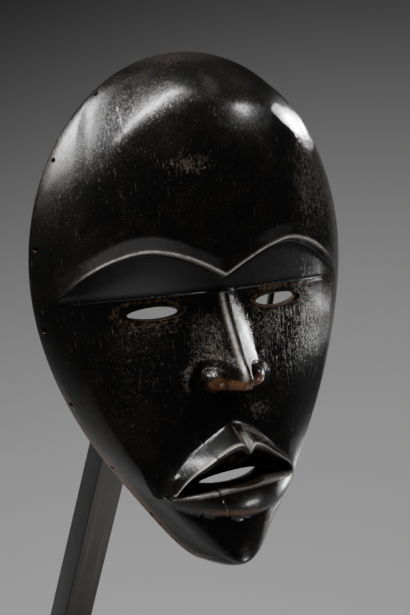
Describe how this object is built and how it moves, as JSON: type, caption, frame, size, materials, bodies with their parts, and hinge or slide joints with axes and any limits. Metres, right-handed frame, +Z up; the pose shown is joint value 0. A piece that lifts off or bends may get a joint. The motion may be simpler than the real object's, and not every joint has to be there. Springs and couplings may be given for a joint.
{
  "type": "dan mask on a stand",
  "caption": "Oval carved wooden face mask, hollow behind, leaning back on a forked rod bracket that plugs into a square post on a flat foot.",
  "frame": {"origin": "middle of the foot's flat underside", "axes": "+Z up along the post, -Y towards the viewer of the face, +X to that viewer's right"},
  "size_m": [0.1594, 0.1852, 0.4467],
  "materials": {
    "black_wood": "hand-carved, dark glossy patina with worn brown edges",
    "bracket_steel": "satin black",
    "post_steel": "satin dark grey-black",
    "foot_steel": "satin dark grey-black"
  },
  "bodies": {
    "root": {"mask": "black_wood", "mount_bracket": "bracket_steel", "post": "post_steel", "foot": "foot_steel"}
  },
  "joints": []
}
